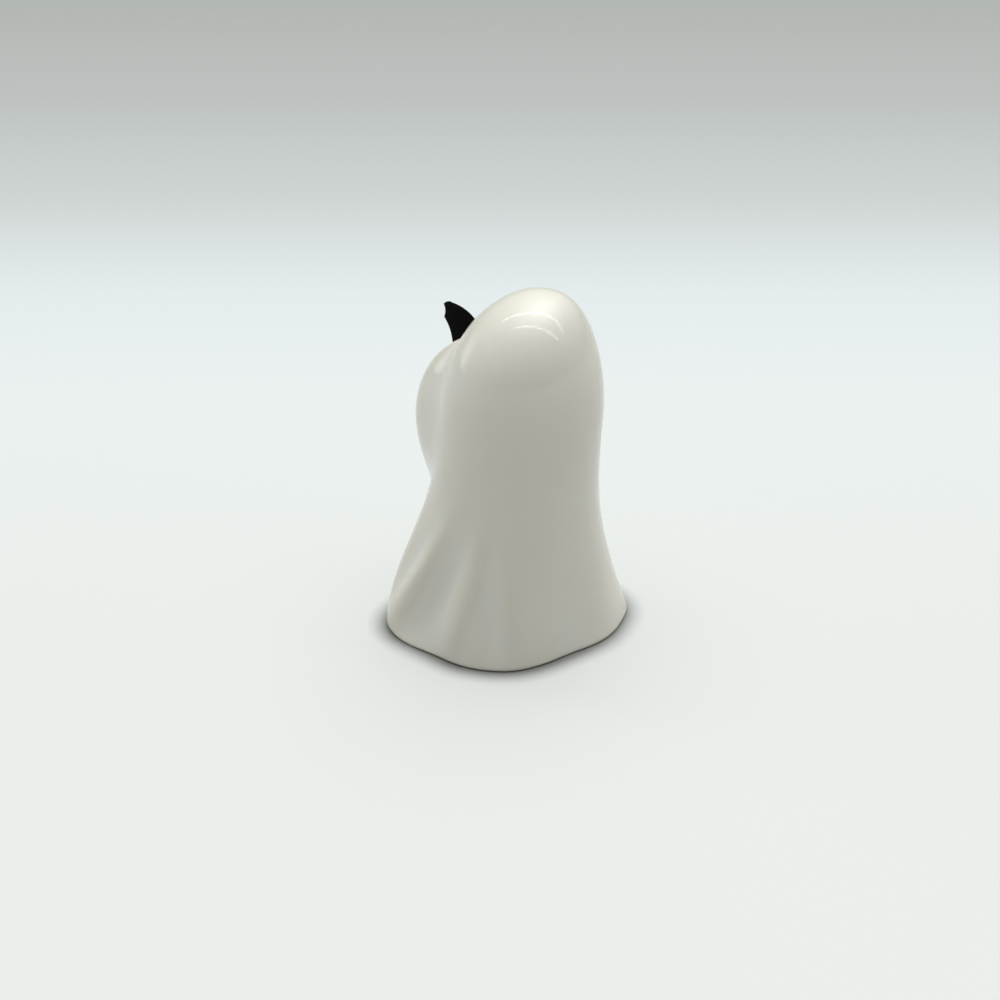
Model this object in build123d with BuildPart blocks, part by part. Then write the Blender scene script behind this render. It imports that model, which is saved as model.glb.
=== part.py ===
"""Small ceramic ghost in a draped sheet, leaning back with a little bat held to its chest.

Sizes are millimetres and angles are degrees. The figure stands on z = 0 with its front towards -Y and
its own left arm on the +X side. Bearings run from the front (0) round by its left (90) to its back (180).
"""

from build123d import *
import os
from math import asin, cos, degrees, exp, hypot, radians, sin, sqrt

os.makedirs("parts", exist_ok=True)

# Body under the sheet
height = 100.0
column_radius = 20.0
dome_height = 34.1
dome_fullness = 2.18
lean_back = 10.0
lean_aside = -2.5
crown_tip = -3.25
foot_shift = -0.86
foot_aside = 0.5

# Skirt
foot_half_width = 33.7
foot_half_depth = 25.9
flare_height = 41.7
flare_softness = 0.45
hem_radius = 2.6
fold_top = 50.0
# Each fold has a bearing at the hem and at its top, how far it stands out at the hem and a third of the
# way up, and half its spread
skirt_folds = [
    (0, 0, 0.8, 0.6, 14),
    (40, 52, 0.6, 1.6, 11),
    (76, 82, 0.5, 1.8, 11),
    (82, 119, 0.0, 1.5, 8),
    (100, 138, 0.0, -1.0, 9),
    (117, 117, -3.5, 0.0, 22),
    (125, 148, 0.0, 0.9, 9),
    (163, 150, 0.0, -0.6, 6),
    (168, 168, 0.7, 0.0, 14),
    (211, 211, -1.8, 0.0, 20),
    (267, 262, 1.6, -0.6, 12),
    (318, 306, 0.6, 1.6, 11),
]

# Draped arms and hands, each an ellipsoid that swells out of the column
arm_bearing = 45.0
arm_distance = 13.6
arm_level = 62.0
arm_reach = 17.4
arm_half_width = 9.9
arm_half_height = 22.6
arm_blend = 10.0
hand_distance = 19.0
hand_rise = 3.5
hand_reach = 12.5
hand_half_width = 10.5
hand_half_height = 6.5
hand_squeeze = 6.5
drape_blend = 3.0
drape_onset = 0.1

# Slip-cast shell
wall = 4.0
base_thickness = 4.0
foot_ring_width = 4.0
foot_recess = 1.2
pour_hole_diameter = 16.0

# Eyes
eye_bearing = 13.0
eye_drop = 12.5
eye_width = 5.0
eye_height = 7.0
eye_depth = 1.2
eye_proud = 0.4
eye_edge = 0.5
eye_clearance = 0.05

# Bat, with drops measured down from the top of its head
bat_level = 55.0
bat_height = 19.5
bat_belly_radius = 5.5
bat_head_radius = 5.2
bat_neck_radius = 4.0
neck_fillet = 2.0
bat_seat_depth = 1.0
bat_seat_gap = 0.3
snout_radius = 1.8
snout_drop = 6.2
snout_forward = 4.4
ear_drop = 3.5
ear_length = 8.5
ear_half_width = 2.1
ear_half_depth = 1.2
ear_tip = 0.4
ear_spacing = 4.8
ear_forward = 1.2
ear_splay = 6.0
ear_rim = 0.6
ear_cup = 0.7
ear_cup_start = 3.2
ear_cup_end = 7.0

# Wings, with places measured outwards from the bat's middle and up from its shoulders
shoulder_drop = 5.5
wing_thickness = 0.8
wing_fit = 0.1
wing_root_top = (3.9, 2.2)
wing_leading_edge = (4.8, 12.4)
wing_tip_start = (12.0, 19.6)
wing_tip_round = (13.3, 20.0)
wing_tip_end = (14.2, 19.3)
wing_first_scallop = (13.9, 17.3)
wing_first_cusp = (14.2, 15.8)
wing_second_scallop = (12.25, 10.0)
wing_second_cusp = (12.4, 3.6)
wing_third_scallop = (7.6, 0.9)
wing_root_foot = (3.9, -4.6)
tab_height = 3.6
tab_depth = 3.5
tab_lap = 0.7

# Peg
peg_diameter = 2.4
peg_grip = 4.0
peg_fit = 0.1

# How finely the drape is drawn: the turn between points round it and the height between slices
outer_turn = 6.0
inner_turn = 11.25
body_pitch = 4.0
crown_pitch = 2.5
lining_pitch = 9.0
crown_cap = 10.0
# Shares of the column's radius at the last slices, where the dome closes
crown_shares = [0.66, 0.52, 0.36, 0.18]
lining_shares = [0.93, 0.76, 0.5, 0.22]


def ease(t):
    """Smooth step from 0 to 1."""
    t = min(max(t, 0.0), 1.0)
    return t * t * (3 - 2 * t)


def soft_max(a, b, blend):
    """The larger of two values, rounded over where they are closer than the blend."""
    if abs(a - b) >= blend:
        return max(a, b)
    h = 0.5 + 0.5 * (a - b) / blend
    return b + (a - b) * h + blend * h * (1 - h)


def spine(z):
    """Centre of the body at a height: the column leans back and aside, and the crown tips further."""
    share = ease(z / height)
    crown = max(z - height + dome_height, 0.0) / dome_height
    return foot_aside + lean_aside * share + crown_tip * crown**4, foot_shift + lean_back * share


def lobe(bearing, z, centre, distance, level, reach, half_width, half_height):
    """Distance from the spine to the far side of an ellipsoid, and how deep the ray cuts it, 0 to 1."""
    turn = radians(bearing - centre)
    along = cos(turn) / reach
    across = sin(turn) / half_width
    a = along**2 + across**2
    b = -along * distance / reach
    c = (distance / reach) ** 2 + ((z - level) / half_height) ** 2 - 1
    inside = b * b - a * c
    if inside <= 0 or cos(turn) <= 0:
        return 0.0, 0.0
    return (-b + sqrt(inside)) / a, inside * reach**2


def drape_over(radius, swell, depth, blend):
    """The sheet stretched over a swelling, with a softer crease the deeper the swelling is cut."""
    if depth == 0:
        return radius
    return soft_max(radius, swell, blend * ease(depth / drape_onset))


def arm_crease(z):
    """Blend between an arm and the body: crisp at the shoulder, soft where the sheet hangs below it."""
    hang = ease((arm_level + arm_half_height - z) / arm_half_height)
    return drape_blend + (arm_blend - drape_blend) * hang


def fold_rise(bearing, z):
    """Sum of the folds, each a bell-shaped ridge or valley that sweeps round as it climbs and fades out."""
    climb = min(z / fold_top, 1.0)
    swell = 27 / 4 * climb * (1 - climb) ** 2
    rise = 0.0
    for foot_bearing, top_bearing, at_hem, above, spread in skirt_folds:
        centre = foot_bearing + (top_bearing - foot_bearing) * climb
        away = (bearing - centre + 180) % 360 - 180
        rise += (at_hem * ease(1 - climb) + above * swell) * exp(-((away / spread) ** 2))
    return rise


def hinge(z):
    """Skirt's spread: 1 at the hem, falling in a line and easing to nothing above the flare."""
    t = 1 - z / flare_height
    full = 1 + sqrt(1 + flare_softness**2)
    return (t + sqrt(t * t + flare_softness**2)) / full


def crown_share(z, inset):
    """Share of the column's radius left at a height inside the domed head."""
    t = (z - height + dome_height) / (dome_height - inset)
    t = min(max(t, 0.0), 1.0)
    return (1 - t**dome_fullness) ** (1 / dome_fullness)


def body_radius(bearing, z, inset=0.0):
    """Distance from the spine to the sheet, or to a smooth lining that lies inside it by the inset."""
    share = crown_share(z, inset)
    half_width = foot_half_width - inset
    half_depth = foot_half_depth - inset
    foot = 1 / hypot(sin(radians(bearing)) / half_width, cos(radians(bearing)) / half_depth)
    upright = column_radius - inset
    radius = (upright + (foot - upright) * hinge(z)) * share
    if inset == 0:
        radius += fold_rise(bearing, z)
        below = max(hem_radius - z, 0.0)
        radius -= hem_radius - sqrt(hem_radius**2 - below**2)
    for side in (arm_bearing, -arm_bearing):
        arm, depth = lobe(
            bearing, z, side, arm_distance, arm_level,
            arm_reach - inset, arm_half_width - inset, arm_half_height - inset,
        )
        radius = drape_over(radius, arm, depth, arm_crease(z))
    return radius


def sheet_radius(bearing, z):
    """The outer sheet with the two hands that hold the bat."""
    radius = body_radius(bearing, z)
    for side in (hand_bearing, -hand_bearing):
        hand, depth = lobe(
            bearing, z, side, hand_distance, hand_level, hand_reach, hand_half_width, hand_half_height
        )
        radius = drape_over(radius, hand, depth, drape_blend)
    return radius


def around_spine(bearing, z, radius):
    """The point at a bearing and a distance from the spine."""
    x, y = spine(z)
    return Vector(x + radius * sin(radians(bearing)), y - radius * cos(radians(bearing)), z)


def sheet_point(bearing, z):
    """A point on the outside of the shell."""
    return around_spine(bearing, z, sheet_radius(bearing, z))


def lining_point(bearing, z):
    """A point on the inside of the shell."""
    return around_spine(bearing, z, body_radius(bearing, z, wall))


def foot_point(bearing, z):
    """A point on the inner edge of the foot ring."""
    return around_spine(bearing, z, sheet_radius(bearing, z) - foot_ring_width)


def closed_curve(radius_point, level, turn):
    """A smooth closed curve through points at even bearings round one level."""
    count = round(360 / turn)
    points = [radius_point(360 * i / count, level) for i in range(count)]
    flat = [(p.X, p.Y) for p in points]
    return Edge.make_spline(flat, periodic=True, parameters=range(count + 1))


def dome_levels(shares, inset):
    """Heights at which the dome keeps these shares of the column's radius."""
    start = height - dome_height
    rise = dome_height - inset
    return [start + rise * (1 - s**dome_fullness) ** (1 / dome_fullness) for s in shares]


def even_levels(low, high, pitch):
    """Heights above one level and up to another, about a pitch apart."""
    count = round((high - low) / pitch)
    return [low + (high - low) * i / count for i in range(1, count + 1)]


# The bat sits against the chest on the body's middle line, and the hands close on its sides
bat_belly_level = bat_level + bat_belly_radius
hand_level = bat_level + hand_rise
bat_x = spine(bat_belly_level)[0]
chest_y = spine(bat_belly_level)[1] - column_radius
bat_y = chest_y + bat_seat_depth - bat_belly_radius
bat_distance = spine(bat_belly_level)[1] - bat_y
hand_bearing = degrees(asin((bat_belly_radius + bat_seat_gap + hand_half_width - hand_squeeze) / bat_distance))
shoulder_level = bat_level + bat_height - shoulder_drop
wing_plane = Plane(origin=(bat_x, bat_y, shoulder_level), x_dir=(1, 0, 0), z_dir=(0, -1, 0))

# Heights of the slices through the shell
hem_levels = [hem_radius * (1 - cos(radians(turn))) for turn in (0, 30, 53, 90)]
body_top = height - dome_height
body_levels = even_levels(hem_radius, body_top, body_pitch)
crown_levels = even_levels(body_top, height - crown_cap, crown_pitch) + dome_levels(crown_shares, 0)
floor_level = foot_recess + base_thickness
lining_levels = [floor_level, *even_levels(floor_level, body_top, lining_pitch)]
lining_levels += dome_levels(lining_shares, wall)

# Bat's body, two balls joined by a neck with soft corners, and the same form grown by the gaps round it
bat_head_level = bat_level + bat_height - bat_head_radius
bat_forms = {}
for form, grow in (("body", 0.0), ("seat", bat_seat_gap), ("root", wing_fit)):
    with BuildPart() as balls:
        with Locations((bat_x, bat_y, bat_belly_level)):
            Sphere(bat_belly_radius + grow)
        with Locations((bat_x, bat_y, bat_head_level)):
            Sphere(bat_head_radius + grow)
        with Locations((bat_x, bat_y, (bat_belly_level + bat_head_level) / 2)):
            Cylinder(bat_neck_radius + grow, bat_head_level - bat_belly_level)
        neck_edges = balls.edges().filter_by(lambda edge: edge.is_closed)
        fillet(neck_edges, neck_fillet - grow)
    bat_forms[form] = balls.part

# Eyes: one plane for each on the dome, facing along its normal
eye_planes = []
eye_level = height - eye_drop
step = 0.5
for side in (eye_bearing, -eye_bearing):
    around = sheet_point(side + step, eye_level) - sheet_point(side - step, eye_level)
    upward = sheet_point(side, eye_level + step) - sheet_point(side, eye_level - step)
    eye_planes.append(
        Plane(origin=sheet_point(side, eye_level), x_dir=around, z_dir=around.cross(upward))
    )

# Peg through the chest wall into the bat's back
peg_plane = Plane(origin=(bat_x, chest_y + wall, bat_belly_level), x_dir=(1, 0, 0), z_dir=(0, -1, 0))
peg_length = wall - bat_seat_depth + peg_grip

# Ghost: one hollow casting
with BuildPart() as ghost_shell:
    skin = []
    for level in hem_levels + body_levels + crown_levels:
        with BuildSketch(Plane.XY.offset(level), mode=Mode.PRIVATE) as skin_slice:
            with BuildLine():
                add(closed_curve(sheet_point, level, outer_turn))
            make_face()
        skin.append(skin_slice.sketch)
    loft([*skin, Vertex(*spine(height), height)])

    lining = []
    for level in lining_levels:
        with BuildSketch(Plane.XY.offset(level), mode=Mode.PRIVATE) as lining_slice:
            with BuildLine():
                add(closed_curve(lining_point, level, inner_turn))
            make_face()
        lining.append(lining_slice.sketch)
    loft([*lining, Vertex(*spine(height - wall), height - wall)], mode=Mode.SUBTRACT)

    # Recess inside the foot ring, and the hole that the slip was poured through
    with BuildSketch(Plane.XY):
        with BuildLine():
            add(closed_curve(foot_point, 0, inner_turn))
        make_face()
    extrude(amount=foot_recess, mode=Mode.SUBTRACT)
    with BuildSketch(Plane.XY.offset(foot_recess)):
        with Locations((foot_aside, foot_shift)):
            Circle(pour_hole_diameter / 2)
    extrude(amount=base_thickness, mode=Mode.SUBTRACT)

    # Sockets for the eyes, a seat for the bat between the hands, and the peg's bore
    for eye_plane in eye_planes:
        with BuildSketch(eye_plane.offset(-eye_depth)):
            Ellipse(eye_width / 2 + eye_clearance, eye_height / 2 + eye_clearance)
        extrude(amount=2 * eye_depth, mode=Mode.SUBTRACT)
    add(bat_forms["seat"], mode=Mode.SUBTRACT)
    with BuildSketch(peg_plane):
        Circle(peg_diameter / 2 + peg_fit)
    extrude(amount=wall, mode=Mode.SUBTRACT)

ghost_shell.part.label = "ghost_shell"
export_step(ghost_shell.part, "parts/ghost_shell.step")

# Eyes: enamel buttons with a rounded face, let into their sockets
for name, eye_plane in zip(("eye_left", "eye_right"), eye_planes):
    with BuildPart() as eye:
        with BuildSketch(eye_plane.offset(eye_clearance - eye_depth)):
            Ellipse(eye_width / 2, eye_height / 2)
        extrude(amount=eye_depth - eye_clearance + eye_proud)
        face = eye.faces().sort_by(Axis(eye_plane.origin, eye_plane.z_dir))[-1]
        fillet(face.edges(), eye_edge)
    eye.part.label = name
    export_step(eye.part, f"parts/{name}.step")

# Bat's body with a blunt snout, cupped ears, a slot on each side for a wing's tab, and the peg's bore
ear_level = bat_level + bat_height - ear_drop
with BuildPart() as bat_body:
    add(bat_forms["body"])
    with Locations((bat_x, bat_y - snout_forward, bat_level + bat_height - snout_drop)):
        Sphere(snout_radius)
    for side in (1, -1):
        ear_plane = Plane(
            origin=(bat_x + side * ear_spacing / 2, bat_y - ear_forward, ear_level),
            x_dir=(cos(radians(ear_splay)), 0, -side * sin(radians(ear_splay))),
            z_dir=(side * sin(radians(ear_splay)), 0, cos(radians(ear_splay))),
        )
        with BuildSketch(ear_plane):
            Ellipse(ear_half_width, ear_half_depth)
        with BuildSketch(ear_plane.offset(ear_length)):
            Ellipse(ear_tip, ear_tip * ear_half_depth / ear_half_width)
        loft()
        for rise in (ear_cup_start, ear_cup_end):
            narrowing = 1 - rise / ear_length
            with BuildSketch(ear_plane.offset(rise)):
                with Locations((0, -ear_half_depth * narrowing)):
                    Ellipse((ear_half_width - ear_rim) * narrowing, ear_cup * narrowing)
        loft(mode=Mode.SUBTRACT)
    with BuildSketch(wing_plane.offset(-wing_thickness / 2 - wing_fit)):
        for side, align in ((1, Align.MIN), (-1, Align.MAX)):
            with Locations((side * (bat_head_radius - tab_depth - wing_fit), 0)):
                Rectangle(
                    tab_depth + tab_lap + wing_fit, tab_height + 2 * wing_fit, align=(align, Align.CENTER)
                )
    extrude(amount=wing_thickness + 2 * wing_fit, mode=Mode.SUBTRACT)
    with BuildSketch(peg_plane):
        Circle(peg_diameter / 2 + peg_fit)
    extrude(amount=peg_length + peg_fit, mode=Mode.SUBTRACT)

bat_body.part.label = "bat_body"
export_step(bat_body.part, "parts/bat_body.step")

# Wings: cut from sheet, scalloped along the trailing edge, hugging the body around their tabs
with BuildPart() as bat_wing_left:
    with BuildSketch(wing_plane.offset(-wing_thickness / 2)):
        with BuildLine():
            ThreePointArc(wing_root_top, wing_leading_edge, wing_tip_start)
            ThreePointArc(wing_tip_start, wing_tip_round, wing_tip_end)
            ThreePointArc(wing_tip_end, wing_first_scallop, wing_first_cusp)
            ThreePointArc(wing_first_cusp, wing_second_scallop, wing_second_cusp)
            ThreePointArc(wing_second_cusp, wing_third_scallop, wing_root_foot)
            Line(wing_root_foot, wing_root_top)
        make_face()
    extrude(amount=wing_thickness)
    add(bat_forms["root"], mode=Mode.SUBTRACT)
    with BuildSketch(wing_plane.offset(-wing_thickness / 2)):
        with Locations((bat_head_radius - tab_depth, 0)):
            Rectangle(tab_depth + tab_lap, tab_height, align=(Align.MIN, Align.CENTER))
    extrude(amount=wing_thickness)

with BuildPart() as bat_wing_right:
    mirror(bat_wing_left.part, about=Plane.YZ.offset(bat_x))

for name, wing in (("bat_wing_left", bat_wing_left), ("bat_wing_right", bat_wing_right)):
    wing.part.label = name
    export_step(wing.part, f"parts/{name}.step")

# Peg: a short pin with softened ends
with BuildPart() as bat_peg:
    with BuildSketch(peg_plane):
        Circle(peg_diameter / 2)
    extrude(amount=peg_length)
    chamfer(bat_peg.edges(), peg_fit)

bat_peg.part.label = "bat_peg"
export_step(bat_peg.part, "parts/bat_peg.step")
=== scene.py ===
# %% [markdown]
# # A small glazed ghost with a bat
# The object is a slip-cast figure: a ghost under a sheet, glazed white, with enamel eyes and a small
# black bat held to its chest. We load the measured solids as a frame first, so every new surface can be
# put exactly where the solid it dresses already stands. Lengths below are millimetres until a mesh is
# made, and lengths in materials are metres.

import math

import bpy
import numpy as np
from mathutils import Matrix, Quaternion, Vector


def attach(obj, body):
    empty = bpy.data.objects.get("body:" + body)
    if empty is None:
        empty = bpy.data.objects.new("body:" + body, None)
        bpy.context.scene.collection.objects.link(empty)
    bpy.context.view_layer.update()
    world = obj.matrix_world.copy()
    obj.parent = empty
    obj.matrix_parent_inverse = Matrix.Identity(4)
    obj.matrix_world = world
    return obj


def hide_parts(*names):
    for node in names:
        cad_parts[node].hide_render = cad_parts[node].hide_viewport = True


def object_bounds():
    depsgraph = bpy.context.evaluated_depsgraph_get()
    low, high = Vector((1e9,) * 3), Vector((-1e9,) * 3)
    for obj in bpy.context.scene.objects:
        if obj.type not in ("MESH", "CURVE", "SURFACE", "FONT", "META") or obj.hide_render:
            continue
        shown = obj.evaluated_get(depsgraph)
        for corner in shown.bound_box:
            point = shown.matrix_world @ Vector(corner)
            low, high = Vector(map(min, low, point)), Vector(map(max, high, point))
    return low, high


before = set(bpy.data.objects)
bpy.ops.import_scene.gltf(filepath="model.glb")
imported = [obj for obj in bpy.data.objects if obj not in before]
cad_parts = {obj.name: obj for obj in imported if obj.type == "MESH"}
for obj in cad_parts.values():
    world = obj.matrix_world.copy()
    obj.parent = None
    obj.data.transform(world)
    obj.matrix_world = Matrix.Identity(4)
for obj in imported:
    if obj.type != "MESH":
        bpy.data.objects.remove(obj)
cad_low, cad_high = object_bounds()
MM = 0.001
print("solids in the frame:", sorted(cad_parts))

# %% [markdown]
# ## Closed skins
# A shape here is a grid of points: rows along the piece, columns round it. Columns close into a ring, and
# the two ends close with a fan to one point, so every piece is a sealed skin. Counting the volume that the
# skin encloses tells us whether its faces point outwards: a negative volume means that they must be
# turned round. The last helper puts a skin in the scene in place of one solid of the frame.

# %% Closed skins from grids


def ring_faces(rows, columns):
    """Quads between neighbouring rings of a grid whose columns wrap round, as vertex numbers."""
    number = np.arange(rows * columns).reshape(rows, columns)
    after = np.roll(number, -1, axis=1)
    return np.stack([number[:-1], after[:-1], after[1:], number[1:]], axis=-1).reshape(-1, 4)


def closed_mesh(name, grid, first_pole, last_pole):
    """A sealed mesh from rings of points in millimetres: quads between rings and a fan at each end."""
    rows, columns, _ = grid.shape
    points = np.concatenate([grid.reshape(-1, 3), [first_pole], [last_pole]]) * MM
    quads = ring_faces(rows, columns)
    here = np.arange(columns)
    there = np.roll(here, -1)
    end = (rows - 1) * columns
    first_fan = np.stack([np.full(columns, rows * columns), there, here], axis=-1)
    last_fan = np.stack([np.full(columns, rows * columns + 1), end + here, end + there], axis=-1)
    fans = np.concatenate([first_fan, last_fan])
    corners = points[np.concatenate([fans, quads[:, :3], quads[:, [0, 2, 3]]])]
    volume = np.einsum("ij,ij->", corners[:, 0], np.cross(corners[:, 1], corners[:, 2])) / 6
    if volume < 0:
        quads = quads[:, ::-1]
        fans = fans[:, ::-1]
    mesh = bpy.data.meshes.new(name)
    mesh.from_pydata(points.tolist(), [], quads.tolist() + fans.tolist())
    mesh.polygons.foreach_set("use_smooth", np.ones(len(mesh.polygons), dtype=bool))
    mesh.update()
    print(name, "has", len(mesh.polygons), "faces and encloses", round(abs(volume) * 1e6, 2), "cm3")
    return mesh


def piece(name, mesh, node):
    """Adds an object for a mesh that stands for one solid of the frame and rides with it."""
    made = bpy.data.objects.new(name, mesh)
    bpy.context.scene.collection.objects.link(made)
    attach(made, "root")
    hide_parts(node)


# %% [markdown]
# ## Colours and nodes
# Colours are written as the hex values a painter would read off a swatch. Blender works with light, not
# with swatch numbers, so one function turns sRGB into linear values. A second function adds a shader node,
# sets its options and joins its inputs, which keeps every material short enough to read. A third starts
# an empty material.

# %% Colour and node helpers


def linear(swatch):
    """Linear colour of an sRGB hex swatch: dark channels over 12.92, others by the 2.4 power curve."""
    channels = np.array([int(swatch[i : i + 2], 16) for i in (1, 3, 5)]) / 255
    light = np.where(channels <= 0.04045, channels / 12.92, ((channels + 0.055) / 1.055) ** 2.4)
    return (*light.tolist(), 1.0)


def add_node(tree, kind, links=None, values=None, **settings):
    """A new node with its options set, its input values filled in, and its inputs joined to outputs."""
    node = tree.nodes.new(kind)
    for key, value in settings.items():
        setattr(node, key, value)
    for key, value in (values or {}).items():
        node.inputs[key].default_value = value
    for key, output in (links or {}).items():
        tree.links.new(output, node.inputs[key])
    return node


def new_material(name):
    """An empty node material and its node tree, ready for a surface."""
    material = bpy.data.materials.new(name)
    material.use_nodes = True
    material.node_tree.nodes.clear()
    return material, material.node_tree


# %% [markdown]
# ## Camera
# The picture looks down on the figure's back from a little to one side. The camera stands on a circle
# round the figure: a bearing, a height angle and a distance give its place, and it looks at one point
# inside the body. Bearings are degrees from the front, turning towards the figure's own left.

# %% Set the camera
view_bearing = math.radians(166.0)
view_rise = math.radians(28.7)
view_distance = 370.0
view_target = Vector((2.27, -1.3, 37.78))
view_angle = math.radians(40.0)

view_back = Vector(
    (
        math.sin(view_bearing) * math.cos(view_rise),
        -math.cos(view_bearing) * math.cos(view_rise),
        math.sin(view_rise),
    )
)
camera_data = bpy.data.cameras.new("camera")
camera_data.sensor_fit = "HORIZONTAL"
camera_data.angle = view_angle
camera_data.clip_start = 0.01
camera_data.clip_end = 20.0
camera = bpy.data.objects.new("camera", camera_data)
camera.location = (view_target + view_back * view_distance) * MM
camera.rotation_mode = "QUATERNION"
camera.rotation_quaternion = (-view_back).to_track_quat("-Z", "Y")
bpy.context.scene.collection.objects.link(camera)
bpy.context.scene.camera = camera
bpy.context.scene.view_settings.view_transform = "Standard"
print("camera at", [round(c, 3) for c in camera.location])

# %% [markdown]
# ## The sheet as a formula
# The real figure was modelled as cloth over a simple body and then cast. We do the same with numbers. At
# any height the body has a centre on a leaning spine and a distance from it to the sheet for each
# bearing. The distance is a column that flares into a skirt, closes into a dome, and carries bell-shaped
# folds. The arms and hands are egg shapes that swell out of it, joined by a rounded maximum so the cloth
# seems to stretch over them.

# %% Shape of the sheet
height = 100.0
column_radius = 20.0
dome_height = 34.1
dome_fullness = 2.18
lean_back = 10.0
lean_aside = -2.5
crown_tip = -3.25
foot_shift = -0.86
foot_aside = 0.5
foot_half_width = 33.7
foot_half_depth = 25.9
flare_height = 41.7
flare_softness = 0.45
hem_radius = 1.4
fold_top = 50.0
# Bearing of each fold at the hem and at its top, how far it stands out at the hem and a third of the way
# up, and half its spread
skirt_folds = [
    (0, 0, 0.8, 0.6, 14),
    (40, 52, 0.6, 1.6, 11),
    (76, 82, 0.5, 1.8, 11),
    (86, 123, 0.0, 1.9, 8),
    (104, 142, 0.0, -1.0, 9),
    (117, 117, -3.5, 0.0, 22),
    (129, 152, 0.0, 1.3, 9),
    (163, 150, 0.0, -0.6, 6),
    (168, 168, 0.7, 0.0, 14),
    (211, 211, -1.8, 0.0, 20),
    (267, 262, 1.6, -0.6, 12),
    (318, 306, 0.6, 1.6, 11),
]
arm_bearing = 45.0
arm = dict(distance=13.6, level=62.0, reach=17.4, half_width=9.9, half_height=22.6)
arm_blend = 10.0
shoulder_blend = 5.0
hand = dict(distance=19.0, level=58.5, reach=12.5, half_width=10.5, half_height=6.5)
drape_blend = 3.0
drape_onset = 0.1
wall = 4.0


def ease(t):
    """Smooth step: three t squared minus two t cubed, with t held between 0 and 1."""
    t = np.clip(t, 0.0, 1.0)
    return t * t * (3 - 2 * t)


def soft_max(a, b, blend):
    """The larger of two values, lifted by a rounded corner where they are closer than the blend."""
    h = np.clip(0.5 + 0.5 * (a - b) / blend, 0.0, 1.0)
    return b + (a - b) * h + blend * h * (1 - h)


def spine(z):
    """Centre of the body at a height: the lean times a smooth step of the height, with the crown's tip
    added as the fourth power of the height inside the dome."""
    share = ease(z / height)
    crown = np.maximum(z - height + dome_height, 0.0) / dome_height
    return foot_aside + lean_aside * share + crown_tip * crown**4, foot_shift + lean_back * share


def drape_over(radius, blend, bearing, z, centre, distance, level, reach, half_width, half_height):
    """The sheet stretched over an egg shape: the far crossing of each level ray with the egg, from the
    quadratic formula, joined to the sheet by a rounded maximum whose corner grows with how deep the ray
    cuts the egg."""
    turn = np.radians(bearing - centre)
    along = np.cos(turn) / reach
    across = np.sin(turn) / half_width
    a = along**2 + across**2
    b = -along * distance / reach
    c = (distance / reach) ** 2 + ((z - level) / half_height) ** 2 - 1
    inside = b * b - a * c
    far = (-b + np.sqrt(np.maximum(inside, 0.0))) / a
    corner = blend * ease(inside * reach**2 / drape_onset) + 1e-6
    return np.where((inside > 0) & (np.cos(turn) > 0), soft_max(radius, far, corner), radius)


def arm_crease(z):
    """Blend between an arm and the body: small at the shoulder, growing by a smooth step to the elbow."""
    hang = ease((arm["level"] + arm["half_height"] - z) / arm["half_height"])
    return shoulder_blend + (arm_blend - shoulder_blend) * hang


def fold_rise(bearing, z):
    """Sum of bell curves, one for each fold. A fold's bearing runs in a line from hem to top. Its share at
    the hem fades by a smooth step, and its swelling above is the climb times the square of what is left
    of it, scaled to reach 1 a third of the way up."""
    climb = np.minimum(z / fold_top, 1.0)
    swell = 27 / 4 * climb * (1 - climb) ** 2
    rise = 0.0
    for foot_bearing, top_bearing, at_hem, above, spread in skirt_folds:
        centre = foot_bearing + (top_bearing - foot_bearing) * climb
        away = (bearing - centre + 180) % 360 - 180
        rise = rise + (at_hem * ease(1 - climb) + above * swell) * np.exp(-((away / spread) ** 2))
    return rise


def hinge(z):
    """Share of the skirt's spread: a straight fall with height that eases to nothing above the flare."""
    t = 1 - z / flare_height
    return (t + np.sqrt(t * t + flare_softness**2)) / (1 + math.sqrt(1 + flare_softness**2))


def crown_share(z, inset):
    """Share of the column's radius left inside the dome: a superellipse of the height."""
    t = np.clip((z - height + dome_height) / (dome_height - inset), 0.0, 1.0)
    return (1 - t**dome_fullness) ** (1 / dome_fullness)


def crown_level(share, inset):
    """Height at which the dome keeps a share of the radius: the same superellipse turned round."""
    rise = (1 - share**dome_fullness) ** (1 / dome_fullness)
    return height - dome_height + (dome_height - inset) * rise


def body_radius(bearing, z, inset):
    """Distance from the spine to the body's skin, or to a lining that lies inside it by the inset."""
    foot = 1 / np.hypot(
        np.sin(np.radians(bearing)) / (foot_half_width - inset),
        np.cos(np.radians(bearing)) / (foot_half_depth - inset),
    )
    upright = column_radius - inset
    radius = (upright + (foot - upright) * hinge(z)) * crown_share(z, inset)
    if inset == 0:
        radius = radius + fold_rise(bearing, z)
        below = np.clip(hem_radius - z, 0.0, hem_radius)
        radius = radius - hem_radius + np.sqrt(hem_radius**2 - below**2)
    egg = arm | {key: arm[key] - inset for key in ("reach", "half_width", "half_height")}
    for side in (1, -1):
        radius = drape_over(radius, arm_crease(z), bearing, z, side * arm_bearing, **egg)
    return radius


bat_level = 55.0
bat_height = 19.5
bat_belly_radius = 5.5
bat_belly_level = bat_level + bat_belly_radius
bat_seat_depth = 1.0
bat_seat_gap = 0.3
hand_squeeze = 6.5
bat_x, belly_spine_y = spine(bat_belly_level)
bat_y = belly_spine_y - column_radius + bat_seat_depth - bat_belly_radius
hand_offset = bat_belly_radius + bat_seat_gap + hand["half_width"] - hand_squeeze
hand_bearing = math.degrees(math.asin(hand_offset / (belly_spine_y - bat_y)))


def sheet_radius(bearing, z):
    """Distance from the spine to the outer sheet: the body with the two hands swelling out of it."""
    radius = body_radius(bearing, z, 0.0)
    for side in (1, -1):
        radius = drape_over(radius, drape_blend, bearing, z, side * hand_bearing, **hand)
    return radius


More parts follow.
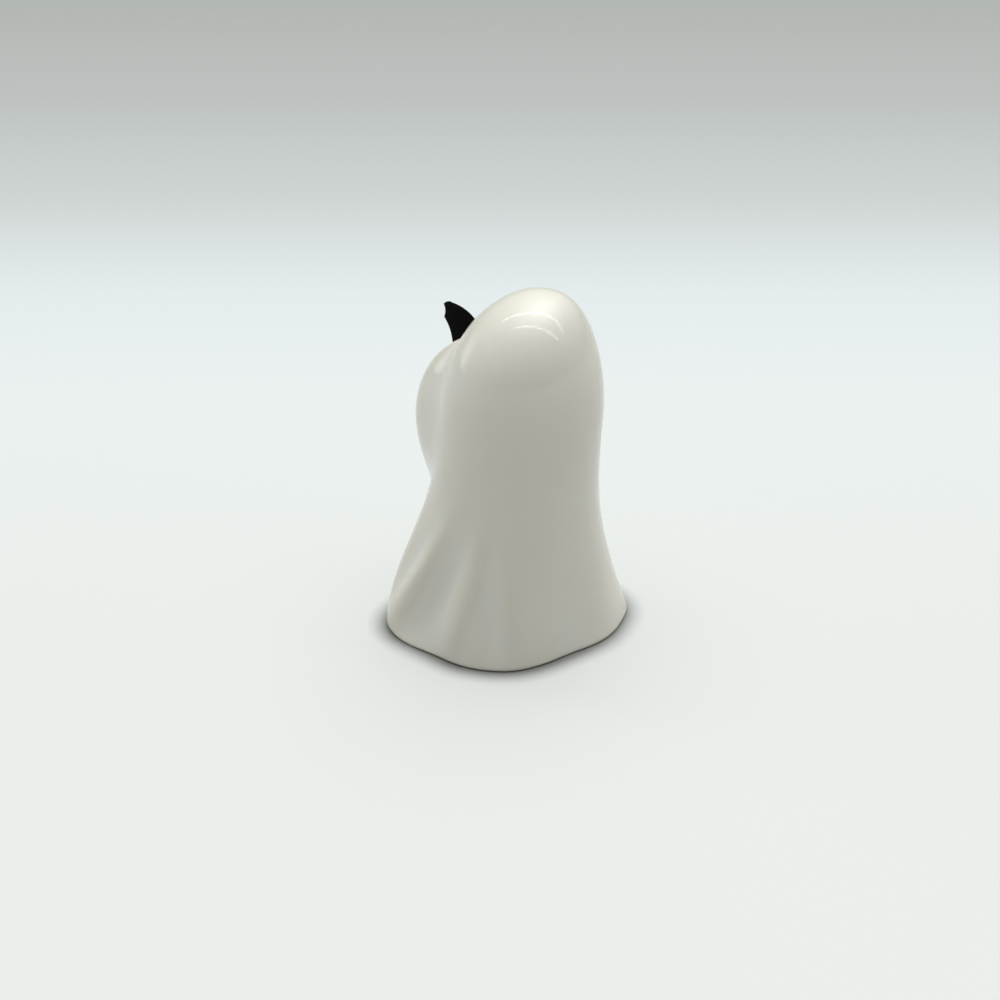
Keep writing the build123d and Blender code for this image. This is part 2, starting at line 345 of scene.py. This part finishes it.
def place(bearing, z, radius):
    """Points at bearings, heights and distances from the spine, as x, y and z."""
    x, y = spine(z)
    turn = np.radians(bearing)
    return np.stack(np.broadcast_arrays(x + radius * np.sin(turn), y - radius * np.cos(turn), z), axis=-1)


bat_spot = [round(float(value), 2) for value in (bat_x, bat_y)]
print("bat at", bat_spot, "hands at bearing", round(hand_bearing, 1))

# %% [markdown]
# ## Where the eyes sit
# Each eye lies on a flat plane that touches the dome. Short steps over the surface, sideways and upwards,
# give the plane's directions. The sheet is pressed in a little around each eye, as soft clay would be, so
# that the glaze rounds into the enamel.

# %% Planes of the eyes
eye_bearing = 13.0
eye_level = 87.5
eye_half = np.array([2.5, 3.5])
eye_depth = 1.15
eye_proud = 0.4
eye_dome = 0.32
press_depth = 1.4
# Where the pressed dent ends and over how much of it the sheet eases in, in half-sizes of the eye
press_reach = 1.3
press_ease = 0.45


def eye_plane(side):
    """Middle, sideways, upward and outward directions of an eye, from small steps over the sheet."""
    step = 0.5
    spots = np.array([[0, 0], [step, 0], [-step, 0], [0, step], [0, -step]])
    bearing = side * eye_bearing + spots[:, 0]
    z = eye_level + spots[:, 1]
    points = place(bearing, z, sheet_radius(bearing, z))
    sideways = points[1] - points[2]
    outward = np.cross(sideways, points[3] - points[4])
    sideways = sideways / np.linalg.norm(sideways)
    outward = outward / np.linalg.norm(outward)
    return points[0], sideways, np.cross(outward, sideways), outward


def press_for_eyes(points):
    """Moves points of the sheet inwards near an eye: full depth under it, easing to nothing round it."""
    pressed = points.copy()
    for side in (1, -1):
        middle, sideways, upward, outward = eye_plane(side)
        away = points - middle
        across = np.stack([away @ sideways, away @ upward], axis=-1) / eye_half
        share = ease((press_reach - np.linalg.norm(across, axis=-1)) / press_ease)
        near = np.linalg.norm(away, axis=-1) < 2 * eye_half.max()
        pressed -= (press_depth * share * near)[..., None] * outward
    return pressed


# %% [markdown]
# ## The casting
# A slip casting is a shell. Its wall follows the outside, and the base has a foot ring, a shallow recess
# and the hole that the spare slip was poured out of. One long profile goes from the crown down the sheet,
# under the foot, up through the pour hole and up the lining to the inside of the crown. Carried round the
# spine it makes the whole shell as one sealed skin.

# %% Make the shell
# The columns lie closest where the sheet turns sharply beside the arms, and widest over the plain back
sector_ends = [0, 50, 108, 252, 310, 360]
sector_columns = [0, 48, 92, 80, 92, 48]
columns = sum(sector_columns)
bearing = np.interp(np.arange(columns), np.cumsum(sector_columns), sector_ends)
foot_ring_width = 5.2
foot_recess = 1.2
foot_edge = 0.3
floor_level = 5.2
pour_radius = 8.0
pour_edge = 0.4
crown_count = 36
side_count = 170
hem_count = 12
lining_count = 24
lining_crown_count = 16
lining_shoulder = 74.0
glaze_reach = 10.8
glaze_rounds = 14
glaze_pull = 0.6

crown_rows = crown_level(np.linspace(0.02, 0.70, crown_count), 0.0)
side_rows = np.linspace(crown_rows[-1], hem_radius, side_count)[1:]
hem_rows = hem_radius * (1 - np.sin(np.linspace(0.0, math.pi / 2, hem_count)[1:]))
outer_z = np.concatenate([crown_rows, side_rows, hem_rows])[:, None]
around = sheet_radius(bearing, outer_z)
# Mean distance over the bearings nearby, to tell hollows from ridges
neighbours = np.linspace(-glaze_reach, glaze_reach, 19)
mean_around = sum(sheet_radius(bearing + turn, outer_z) for turn in neighbours) / len(neighbours)
outer = place(bearing, outer_z, around)
# Glaze that pools in a hollow rounds it: each point there moves towards the mean of its four neighbours
hollow = ease(mean_around - around)[..., None]
for _ in range(glaze_rounds):
    beside = 0.5 * (np.roll(outer, 1, axis=1) + np.roll(outer, -1, axis=1))
    above_below = 0.5 * (outer[:-2] + outer[2:])
    outer[1:-1] += glaze_pull * hollow[1:-1] * (0.5 * (beside[1:-1] + above_below) - outer[1:-1])
# The sheet stays in the box of the solids
outer = np.clip(press_for_eyes(outer), np.array(cad_low) / MM, np.array(cad_high) / MM)

hem_edge = sheet_radius(bearing, np.array(0.0))
lining_edge = body_radius(bearing, np.array(floor_level), wall)


def base_ring(radius, z):
    """One ring of the base at a height, round the foot of the spine."""
    points = place(bearing, np.array(0.0), radius)
    points[:, 2] = z
    return points


foot_inner = hem_edge - foot_ring_width
pour_ring = np.full(columns, pour_radius)
base = [
    base_ring(hem_edge - 0.4, 0.0),
    base_ring(foot_inner + foot_edge, 0.0),
    base_ring(foot_inner, foot_edge),
    base_ring(foot_inner, foot_recess - foot_edge),
    base_ring(foot_inner - foot_edge, foot_recess),
    base_ring(0.5 * (foot_inner + pour_ring), foot_recess),
    base_ring(pour_ring + pour_edge, foot_recess),
    base_ring(pour_ring, foot_recess + pour_edge),
    base_ring(pour_ring, floor_level - pour_edge),
    base_ring(pour_ring + pour_edge, floor_level),
    base_ring(0.5 * (lining_edge + pour_ring), floor_level),
    base_ring(lining_edge - 1.0, floor_level),
]
lining_rows = np.linspace(floor_level + 0.8, lining_shoulder, lining_count)
lining_crown_rows = crown_level(np.linspace(0.97, 0.04, lining_crown_count), wall)
lining_z = np.concatenate([lining_rows, lining_crown_rows])[:, None]
lining = place(bearing, lining_z, body_radius(bearing, lining_z, wall))
shell_grid = np.concatenate([outer, base, lining])
crown_pole = [*spine(height), height]
lining_pole = [*spine(height - wall), height - wall]
shell_mesh = closed_mesh("ghost_sheet", shell_grid, crown_pole, lining_pole)
piece("ghost_sheet", shell_mesh, "ghost_shell")

# Faces of the foot ring, base and lining are bare clay, and the rest is glazed
glazed_faces = (len(outer) - 1) * columns
bare = np.arange(len(shell_mesh.polygons)) >= glazed_faces
bare[-2 * columns : -columns] = False
shell_mesh.polygons.foreach_set("material_index", bare.astype(np.int32))

# %% [markdown]
# ## How thick the glaze lies
# Glaze is a melt. It runs off ridges, where the warm clay shows through a little, and pools in hollows,
# where it is whiter and cooler. Comparing each point's distance from the spine with the mean of its
# neighbours tells a ridge from a hollow. The result is stored on the mesh for the material to read.

# %% Store the glaze thickness
pool_gain = 1.6
pool = np.clip(0.5 + (mean_around - around) * pool_gain, 0.0, 1.0)
stored = np.full(len(shell_mesh.vertices), 0.5, dtype=np.float32)
stored[: pool.size] = pool.ravel()
shell_mesh.attributes.new("glaze_pool", "FLOAT", "POINT").data.foreach_set("value", stored)
print("glaze pool from", round(float(pool.min()), 2), "to", round(float(pool.max()), 2))

# %% [markdown]
# ## White tin glaze
# A dipped white glaze over earthenware is glassy, so its roughness is low and its IOR is that of glass.
# It is never quite even: slow clouds where the dip ran, a faint cream where it is thin, and a rippled skin.

# %% Glaze and clay materials
white_glaze, tree = new_material("dipped_white_glaze")
coords = add_node(tree, "ShaderNodeTexCoord").outputs["Object"]
# Slow cloudiness about 22 mm across
cloud = add_node(tree, "ShaderNodeTexNoise", {"Vector": coords}, {"Scale": 45.0, "Detail": 2.0})
pooled = add_node(tree, "ShaderNodeAttribute", attribute_name="glaze_pool")
thickness = add_node(
    tree,
    "ShaderNodeMix",
    {"A": pooled.outputs["Fac"], "B": cloud.outputs["Fac"]},
    {"Factor": 0.35},
)
tone = add_node(tree, "ShaderNodeValToRGB", {"Fac": thickness.outputs["Result"]})
tone.color_ramp.elements[0].position = 0.25
tone.color_ramp.elements[0].color = linear("#e2ded2")
tone.color_ramp.elements[1].position = 0.75
tone.color_ramp.elements[1].color = linear("#e6e5dd")
# Gloss varies a little over patches about 8 mm across
patch = add_node(tree, "ShaderNodeTexNoise", {"Vector": coords}, {"Scale": 120.0, "Detail": 3.0})
gloss = add_node(
    tree,
    "ShaderNodeMapRange",
    {"Value": patch.outputs["Fac"]},
    {"From Min": 0.3, "From Max": 0.7, "To Min": 0.07, "To Max": 0.13},
)
# The skin of the melt ripples in waves about 5 mm long
ripple = add_node(tree, "ShaderNodeTexNoise", {"Vector": coords}, {"Scale": 200.0, "Detail": 1.0})
skin = add_node(
    tree,
    "ShaderNodeBump",
    {"Height": ripple.outputs["Fac"]},
    {"Strength": 0.12, "Distance": 0.0003},
)
glaze = add_node(
    tree,
    "ShaderNodeBsdfPrincipled",
    {
        "Base Color": tone.outputs["Color"],
        "Roughness": gloss.outputs["Result"],
        "Normal": skin.outputs["Normal"],
    },
    {"IOR": 1.5},
)
add_node(tree, "ShaderNodeOutputMaterial", {"Surface": glaze.outputs["BSDF"]})

bare_clay, tree = new_material("bisque_clay")
coords = add_node(tree, "ShaderNodeTexCoord").outputs["Object"]
# Clay grains, drawn at 0.5 mm so that they show
grain = add_node(tree, "ShaderNodeTexNoise", {"Vector": coords}, {"Scale": 2000.0, "Detail": 3.0})
clay_tone = add_node(tree, "ShaderNodeValToRGB", {"Fac": grain.outputs["Fac"]})
clay_tone.color_ramp.elements[0].color = linear("#cfc3ae")
clay_tone.color_ramp.elements[1].color = linear("#e9e0cf")
tooth = add_node(
    tree,
    "ShaderNodeBump",
    {"Height": grain.outputs["Fac"]},
    {"Strength": 0.4, "Distance": 0.0002},
)
clay = add_node(
    tree,
    "ShaderNodeBsdfPrincipled",
    {"Base Color": clay_tone.outputs["Color"], "Normal": tooth.outputs["Normal"]},
    {"Roughness": 0.85},
)
add_node(tree, "ShaderNodeOutputMaterial", {"Surface": clay.outputs["BSDF"]})
shell_mesh.materials.append(white_glaze)
shell_mesh.materials.append(bare_clay)

# %% [markdown]
# ## Eyes
# The eyes are pools of black enamel. Surface tension pulls each pool into a low dome, so its section is a
# power curve that falls from the middle to the rim.

# %% Make the eyes


def eye_grid(side):
    """Rings of an oval button: a low dome to the rim, a straight side, and a flat back."""
    middle, sideways, upward, outward = eye_plane(side)
    turn = np.linspace(0, 2 * math.pi, 72, endpoint=False)
    dome = np.sin(np.linspace(0.08, math.pi / 2, 18))
    share = np.concatenate([dome, [1.0, 1.0, 0.97, 0.5]])
    rise = eye_proud - eye_dome * dome**4
    drop = np.concatenate([rise, [-0.25, 0.1 - eye_depth, -eye_depth, -eye_depth]])
    across = share[:, None, None] * np.cos(turn)[None, :, None] * eye_half[0] * sideways
    along = share[:, None, None] * np.sin(turn)[None, :, None] * eye_half[1] * upward
    grid = middle + across + along + drop[:, None, None] * outward
    return grid, middle + eye_proud * outward, middle - eye_depth * outward


black_enamel, tree = new_material("black_enamel")
coords = add_node(tree, "ShaderNodeTexCoord").outputs["Object"]
# Faint flow marks about 2 mm long in the melted enamel
flow = add_node(tree, "ShaderNodeTexNoise", {"Vector": coords}, {"Scale": 500.0, "Detail": 2.0})
enamel_tone = add_node(tree, "ShaderNodeValToRGB", {"Fac": flow.outputs["Fac"]})
enamel_tone.color_ramp.elements[0].color = linear("#0b0b0c")
enamel_tone.color_ramp.elements[1].color = linear("#19191b")
enamel_skin = add_node(
    tree,
    "ShaderNodeBump",
    {"Height": flow.outputs["Fac"]},
    {"Strength": 0.1, "Distance": 0.0001},
)
enamel = add_node(
    tree,
    "ShaderNodeBsdfPrincipled",
    {"Base Color": enamel_tone.outputs["Color"], "Normal": enamel_skin.outputs["Normal"]},
    {"Roughness": 0.08, "IOR": 1.52},
)
add_node(tree, "ShaderNodeOutputMaterial", {"Surface": enamel.outputs["BSDF"]})
for name, side in (("eye_left", 1), ("eye_right", -1)):
    eye_mesh = closed_mesh(f"enamel_{name}", *eye_grid(side))
    eye_mesh.materials.append(black_enamel)
    piece(f"enamel_{name}", eye_mesh, name)

# %% [markdown]
# ## Bat's body
# The bat is a little resin casting: one ball for the belly and one for the head, with cupped ears and a
# blunt snout. The parts are made as separate skins that run into each other. A voxel remesh then melts
# them into one skin with soft joins, as a mould would.

# %% Make the bat's body
bat_head_radius = 5.2
bat_neck_radius = 3.9
belly_middle = bat_belly_radius
head_middle = bat_height - bat_head_radius
ball_blend = 1.6
neck_blend = 0.8
snout_middle = 13.3
snout_rise = 1.1
snout_half_width = 1.7
snout_half_height = 1.2
ear_splay = math.radians(6.0)
ear_aside = 2.4
ear_forward = 1.2
ear_level = 16.0
ear_length = 8.3
ear_half_width = 2.1
ear_half_depth = 1.2


def ball_radius(h, middle, radius):
    """Radius of a ball's level slice: the root of its radius squared less the height off its middle
    squared."""
    return np.sqrt(np.maximum(radius**2 - (h - middle) ** 2, 0.0))


def bat_torso():
    """Rings of two balls and a neck joined by rounded maxima, with a bell-shaped snout on the front."""
    h = bat_height * (0.5 - 0.5 * np.cos(np.linspace(0.06, math.pi - 0.06, 90)))[:, None]
    turn = np.linspace(0, 2 * math.pi, 96, endpoint=False)
    belly = ball_radius(h, belly_middle, bat_belly_radius)
    head = ball_radius(h, head_middle, bat_head_radius)
    neck = np.where((h > belly_middle) & (h < head_middle), bat_neck_radius, 0.0)
    radius = soft_max(soft_max(belly, head, ball_blend), neck, neck_blend)
    front = (turn + math.pi) % (2 * math.pi) - math.pi
    aside = front * bat_head_radius / snout_half_width
    above = (h - snout_middle) / snout_half_height
    radius = radius + snout_rise * np.exp(-(aside**2) - above**2)
    grid = np.stack(
        np.broadcast_arrays(
            bat_x + radius * np.sin(turn),
            bat_y - radius * np.cos(turn),
            bat_level + h,
        ),
        axis=-1,
    )
    return grid, [bat_x, bat_y, bat_level], [bat_x, bat_y, bat_level + bat_height]


def bat_ear(side):
    """Rings of an ear: ovals that shrink to the tip, with the front half dished towards the back."""
    t = np.linspace(0, 0.985, 40)[:, None]
    turn = np.linspace(0, 2 * math.pi, 48, endpoint=False)
    half_width = ear_half_width * (1 - t) ** 0.8 + 0.15
    half_depth = ear_half_depth * (1 - t) + 0.2
    wave = np.sin(turn)
    depth = np.where(wave > 0, wave, 0.5 * wave + 0.9 * wave**2)
    across = half_width * np.cos(turn)
    along = ear_length * t
    grid = np.stack(
        np.broadcast_arrays(
            bat_x + side * (ear_aside + across * math.cos(ear_splay) + along * math.sin(ear_splay)),
            bat_y - ear_forward + half_depth * depth,
            bat_level + ear_level + along * math.cos(ear_splay) - across * math.sin(ear_splay),
        ),
        axis=-1,
    )
    return grid, grid[0].mean(axis=0), grid[-1].mean(axis=0)


bat_skins = [closed_mesh("bat_torso", *bat_torso())]
bat_skins += [closed_mesh("bat_ear", *bat_ear(side)) for side in (1, -1)]
bat_parts = [bpy.data.objects.new(mesh.name, mesh) for mesh in bat_skins]
for part in bat_parts:
    bpy.context.scene.collection.objects.link(part)
with bpy.context.temp_override(active_object=bat_parts[0], selected_editable_objects=bat_parts):
    bpy.ops.object.join()
bat_figure = bat_parts[0]
melt = bat_figure.modifiers.new("melt", "REMESH")
melt.mode = "VOXEL"
melt.voxel_size = 0.2 * MM
melt.use_smooth_shade = True
settle = bat_figure.modifiers.new("settle", "SMOOTH")
settle.factor = 0.5
settle.iterations = 4
melted = bat_figure.evaluated_get(bpy.context.evaluated_depsgraph_get())
molten = bpy.data.meshes.new_from_object(melted)
bpy.data.objects.remove(bat_figure)
molten.name = "bat_figure"
piece("bat_figure", molten, "bat_body")
print("bat body has", len(molten.polygons), "faces")

# %% [markdown]
# ## Wings
# Each wing is one thin blade. The leading edge is a long arc and the trailing edge is three scallops
# between the tips of the fingers. Straight lines joining the two edges fill the blade. Finger bones stand
# up as low ridges that run from the wrist to each point of the edge.

# %% Make the wings
wing_root_top = (3.9, 16.2)
wing_tip_end = (14.2, 33.3)
wing_first_cusp = (14.2, 29.8)
wing_second_cusp = (12.4, 17.6)
wing_root_foot = (3.9, 9.4)
wing_low_scallop = (7.6, 14.9)
wing_long_scallop = (12.25, 24.0)
wing_tip_scallop = (13.9, 31.3)
wing_leading_bow = (4.8, 26.4)
wing_shoulder = (12.0, 33.6)
wing_tip_bow = (13.3, 34.0)
wing_wrist = np.array([8.0, 30.6])
wing_half_thickness = 0.4
wing_camber = 0.5
wing_camber_span = 10.0
finger_height = 0.3
finger_half_width = 0.45


def arc(start, middle, end, count):
    """Even points along the circle through three places, found from where two bisectors cross."""
    p, q, r = (np.array(spot, dtype=float) for spot in (start, middle, end))
    centre = np.linalg.solve(2 * np.array([q - p, r - p]), [q @ q - p @ p, r @ r - p @ p])
    angles = np.unwrap([math.atan2(*(s - centre)[::-1]) for s in (p, q, r)])
    turn = np.linspace(angles[0], angles[2], count)
    return centre + np.hypot(*(p - centre)) * np.stack([np.cos(turn), np.sin(turn)], axis=-1)


trailing = np.concatenate(
    [
        arc(wing_root_foot, wing_low_scallop, wing_second_cusp, 30),
        arc(wing_second_cusp, wing_long_scallop, wing_first_cusp, 34)[1:],
        arc(wing_first_cusp, wing_tip_scallop, wing_tip_end, 13)[1:],
    ]
)
leading = np.concatenate(
    [
        arc(wing_root_top, wing_leading_bow, wing_shoulder, len(trailing) - 12),
        arc(wing_shoulder, wing_tip_bow, wing_tip_end, 13)[1:],
    ]
)


def finger_ridge(flat):
    """Height of the finger bones: a bell of the distance to each line from the wrist to a fingertip."""
    rise = np.zeros(flat.shape[:-1])
    for tip in (wing_tip_end, wing_first_cusp, wing_second_cusp):
        bone = np.array(tip) - wing_wrist
        share = np.clip(((flat - wing_wrist) @ bone) / (bone @ bone), 0.0, 1.0)
        gap = np.linalg.norm(flat - wing_wrist - share[..., None] * bone, axis=-1)
        rise = np.maximum(rise, finger_height * np.exp(-((gap / finger_half_width) ** 2)))
    return rise


def wing_grid(side):
    """Rings round the blade: across its front from edge to edge and back behind, thin at both edges."""
    t = np.linspace(0, 1, 41)
    flat = leading[:, None] * (1 - t[None, :, None]) + trailing[:, None] * t[None, :, None]
    edge = np.clip(1 - np.abs(2 * t - 1) ** 5, 0.0, 1.0) ** 0.5
    half = (wing_half_thickness + finger_ridge(flat)) * edge
    bend = wing_camber * ((flat[..., 0] - wing_root_top[0]) / wing_camber_span) ** 2
    x = bat_x + side * flat[..., 0]
    z = bat_level + flat[..., 1]
    front = np.stack([x, bat_y + bend - half, z], axis=-1)
    rear = np.stack([x, bat_y + bend + half, z], axis=-1)
    grid = np.concatenate([front, rear[:, -2:0:-1]], axis=1)
    return grid[:-1], grid[0].mean(axis=0), grid[-1].mean(axis=0)


def matte_black(name, darkest, lightest, scale, roughness):
    """A matte black whose tone and skin vary with one noise of the given scale."""
    material, tree = new_material(name)
    coords = add_node(tree, "ShaderNodeTexCoord").outputs["Object"]
    mottle = add_node(tree, "ShaderNodeTexNoise", {"Vector": coords}, {"Scale": scale, "Detail": 4.0})
    tone = add_node(tree, "ShaderNodeValToRGB", {"Fac": mottle.outputs["Fac"]})
    tone.color_ramp.elements[0].position = 0.35
    tone.color_ramp.elements[0].color = linear(darkest)
    tone.color_ramp.elements[1].position = 0.75
    tone.color_ramp.elements[1].color = linear(lightest)
    skin = add_node(
        tree,
        "ShaderNodeBump",
        {"Height": mottle.outputs["Fac"]},
        {"Strength": 0.25, "Distance": 0.00015},
    )
    matte = add_node(
        tree,
        "ShaderNodeBsdfPrincipled",
        {"Base Color": tone.outputs["Color"], "Normal": skin.outputs["Normal"]},
        {"Roughness": roughness, "Specular IOR Level": 0.1},
    )
    add_node(tree, "ShaderNodeOutputMaterial", {"Surface": matte.outputs["BSDF"]})
    return material


# Brushed-on paint is a little uneven over about 3 mm, and cast resin has a fine tooth of about 0.7 mm
black_paint = matte_black("matte_black_paint", "#040405", "#0b0b0c", 350.0, 0.6)
black_resin = matte_black("cast_black_resin", "#0a0a0b", "#171718", 1400.0, 0.5)
molten.materials.append(black_resin)
for name, side in (("bat_wing_left", 1), ("bat_wing_right", -1)):
    wing_mesh = closed_mesh(f"blade_{name}", *wing_grid(side))
    wing_mesh.materials.append(black_paint)
    piece(f"blade_{name}", wing_mesh, name)

# %% [markdown]
# ## Peg
# The peg is a plain steel pin, and its solid is already right. It only needs drawn steel's fine lines,
# which run along the pin.

# %% Finish the peg
drawn_steel, tree = new_material("drawn_steel")
coords = add_node(tree, "ShaderNodeTexCoord").outputs["Object"]
# Draw lines 0.2 mm apart, stretched along the pin
stretch = add_node(tree, "ShaderNodeMapping", {"Vector": coords}, {"Scale": (1.0, 0.02, 1.0)})
lines = add_node(tree, "ShaderNodeTexNoise", {"Vector": stretch.outputs["Vector"]}, {"Scale": 5000.0})
steel_gloss = add_node(
    tree,
    "ShaderNodeMapRange",
    {"Value": lines.outputs["Fac"]},
    {"To Min": 0.25, "To Max": 0.45},
)
steel = add_node(
    tree,
    "ShaderNodeBsdfPrincipled",
    {"Roughness": steel_gloss.outputs["Result"]},
    {"Base Color": linear("#b8b8ba"), "Metallic": 1.0},
)
add_node(tree, "ShaderNodeOutputMaterial", {"Surface": steel.outputs["BSDF"]})
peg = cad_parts["bat_peg"]
peg.data.materials.clear()
peg.data.materials.append(drawn_steel)

# %% [markdown]
# ## Floor
# The figure stands on a sweep of pale paper. Its colour is painted a cooler, darker grey with distance
# beyond the figure, as painted shade where the lamps' light falls off. A real studio floods such paper with
# its own lamps. Here the paper shows part of its colour by itself to the camera and to mirror reflections,
# and the rest is lit, so that the figure's shadow stays while no extra light falls on the figure.

# %% Paper floor
floor_half = 6000.0
# Tones of the paper from near to far, the far ones painted darker as shade where the light falls off
paper_near = "#f6fbf9"
paper_far_shade = "#c0c6c4"
paper_shade_stops = ((0.2, "#f7ffff"), (0.29, "#f1fafd"), (0.41, "#dae2e1"), (0.6, "#cad0cf"))
paper_albedo = (0.64, 0.61, 0.6)
paper_own_share = 0.56
contact_reach = 0.006
shade_reach = 0.06
floor_mesh = bpy.data.meshes.new("paper_sweep")
floor_corners = np.array([[-1, -1, 0], [1, -1, 0], [1, 1, 0], [-1, 1, 0]]) * floor_half * MM
floor_mesh.from_pydata(floor_corners.tolist(), [], [[0, 1, 2, 3]])
floor = bpy.data.objects.new("paper_sweep", floor_mesh)
bpy.context.scene.collection.objects.link(floor)
paper, tree = new_material("pale_paper")
coords = add_node(tree, "ShaderNodeTexCoord").outputs["Object"]
# Distance beyond the figure, along the camera's line of sight, which sets how much painted shade greys the
# paper
beyond = add_node(
    tree,
    "ShaderNodeVectorMath",
    {0: coords},
    {1: (-math.sin(view_bearing), math.cos(view_bearing), 0.0)},
    operation="DOT_PRODUCT",
)
far = add_node(
    tree,
    "ShaderNodeMapRange",
    {"Value": beyond.outputs["Value"]},
    {"From Min": -0.1, "From Max": 1.15},
)
# The paper's colour with painted shade: pale near the figure, greyer and cooler far beyond it where the
# light falls off
paper_shaded_tone = add_node(tree, "ShaderNodeValToRGB", {"Fac": far.outputs["Result"]})
paper_shaded_tone.color_ramp.elements[0].position = 0.05
paper_shaded_tone.color_ramp.elements[0].color = linear(paper_near)
paper_shaded_tone.color_ramp.elements[1].position = 0.9
paper_shaded_tone.color_ramp.elements[1].color = linear(paper_far_shade)
for position, swatch in paper_shade_stops:
    paper_shaded_tone.color_ramp.elements.new(position).color = linear(swatch)
lit_tone = add_node(
    tree,
    "ShaderNodeVectorMath",
    {0: paper_shaded_tone.outputs["Color"]},
    {1: paper_albedo},
    operation="MULTIPLY",
)
lit_paper = add_node(
    tree,
    "ShaderNodeBsdfPrincipled",
    {"Base Color": lit_tone.outputs["Vector"]},
    {"Roughness": 0.9, "Specular IOR Level": 0.1},
)
# The studio's light does not reach the paper under the hem, and reaches it a little less round the figure
under_hem = add_node(
    tree, "ShaderNodeAmbientOcclusion", None, {"Distance": contact_reach}, samples=16
)
contact = add_node(
    tree, "ShaderNodeMapRange", {"Value": under_hem.outputs["AO"]}, {"From Min": 0.62}
)
around_figure = add_node(
    tree, "ShaderNodeAmbientOcclusion", None, {"Distance": shade_reach}, samples=8
)
shade = add_node(
    tree,
    "ShaderNodeMapRange",
    {"Value": around_figure.outputs["AO"]},
    {"To Min": 0.8, "To Max": 0.98},
)
own_light = add_node(
    tree,
    "ShaderNodeMath",
    {0: contact.outputs["Result"], 1: shade.outputs["Result"]},
    operation="MULTIPLY",
)
own_paper = add_node(
    tree,
    "ShaderNodeEmission",
    {"Color": paper_shaded_tone.outputs["Color"], "Strength": own_light.outputs["Value"]},
)
rays = add_node(tree, "ShaderNodeLightPath")
mirrored = add_node(
    tree,
    "ShaderNodeMath",
    {0: rays.outputs["Is Glossy Ray"], 1: rays.outputs["Is Transmission Ray"]},
    operation="MAXIMUM",
)
seen = add_node(
    tree,
    "ShaderNodeMath",
    {0: rays.outputs["Is Camera Ray"], 1: mirrored.outputs["Value"]},
    operation="MAXIMUM",
)
own_share = add_node(
    tree,
    "ShaderNodeMath",
    {0: seen.outputs["Value"]},
    {1: paper_own_share},
    operation="MULTIPLY",
)
paper_mix = add_node(
    tree,
    "ShaderNodeMixShader",
    {0: own_share.outputs["Value"], 1: lit_paper.outputs["BSDF"], 2: own_paper.outputs["Emission"]},
)
add_node(tree, "ShaderNodeOutputMaterial", {"Surface": paper_mix.outputs["Shader"]})
floor_mesh.materials.append(paper)
print("floor is", 2 * floor_half * MM, "m wide")

# %% [markdown]
# ## Lamps
# The room's light comes from above, a little beyond and to the right, so the crown is bright and the
# upright back that faces the camera is a quiet grey, lit mostly by the paper. Weaker glows stand for a
# wall beyond, a wall on the left and a low window. Two long tube lamps run side by side across the
# ceiling: they give little light, but the glaze mirrors them as two thin lines over the head.

# %% Lamps and sky


def tube_lamp(name, spot, aim, size, power, turn):
    """A long lamp at a place in millimetres that faces a point, turned about the line to that point."""
    data = bpy.data.lights.new(name, "AREA")
    data.shape = "RECTANGLE"
    data.size = size[0] * MM
    data.size_y = size[1] * MM
    data.energy = power
    lamp = bpy.data.objects.new(name, data)
    lamp.location = Vector(spot) * MM
    lamp.rotation_mode = "QUATERNION"
    facing = (Vector(spot) - Vector(aim)).to_track_quat("Z", "Y")
    lamp.rotation_quaternion = facing @ Quaternion((0, 0, 1), turn)
    bpy.context.scene.collection.objects.link(lamp)
    print(name, "of", power, "W at", spot)


# Two parallel ceiling lines, found from where the glaze mirrors them
tube_turn = math.radians(-33.0)
tube_lamp("first_tube", (-209, 49, 900), (-209, 49, 0), (1940, 28), 1.6, tube_turn)
tube_lamp("second_tube", (-172, 459, 900), (-172, 459, 0), (1530, 25), 1.2, tube_turn)

sky = bpy.data.worlds.new("studio_sky")
sky.use_nodes = True
tree = sky.node_tree
tree.nodes.clear()
direction = add_node(tree, "ShaderNodeTexCoord").outputs["Generated"]


def sky_glow(bearing, rise, sharpness, strength):
    """A soft glow in the sky: its strength times a power of the cosine of the angle from its middle."""
    bearing = math.radians(bearing)
    rise = math.radians(rise)
    middle = (math.cos(rise) * math.sin(bearing), -math.cos(rise) * math.cos(bearing), math.sin(rise))
    step = add_node(tree, "ShaderNodeVectorMath", {0: direction}, {1: middle}, operation="DOT_PRODUCT")
    for operation, number in (("MAXIMUM", 0.0), ("POWER", sharpness), ("MULTIPLY", strength)):
        value = step.outputs["Value"]
        step = add_node(tree, "ShaderNodeMath", {0: value}, {1: number}, operation=operation)
    return step.outputs["Value"]


# Bearing and height angle of each glow, how sharply it fades, and its strength
glow = sky_glow(314.0, 81.0, 8.0, 5.0)
wall_beyond = sky_glow(330.0, 30.0, 10.0, 0.5)
left_wall = sky_glow(86.0, 8.0, 4.0, 0.5)
low_window = sky_glow(48.0, 5.0, 40.0, 1.9)
for side_glow in (wall_beyond, left_wall, low_window):
    glow = add_node(tree, "ShaderNodeMath", {0: glow, 1: side_glow}, operation="ADD").outputs["Value"]
fill = add_node(tree, "ShaderNodeBackground", {"Strength": glow}, {"Color": linear("#fbfdfa")})
# Straight to the camera the sky is the far paper's grey, the same painted shade as the far floor
plain = add_node(tree, "ShaderNodeBackground", None, {"Color": linear(paper_far_shade)})
rays = add_node(tree, "ShaderNodeLightPath")
sky_mix = add_node(
    tree,
    "ShaderNodeMixShader",
    {0: rays.outputs["Is Camera Ray"], 1: fill.outputs["Background"], 2: plain.outputs["Background"]},
)
add_node(tree, "ShaderNodeOutputWorld", {"Surface": sky_mix.outputs["Shader"]})
bpy.context.scene.world = sky
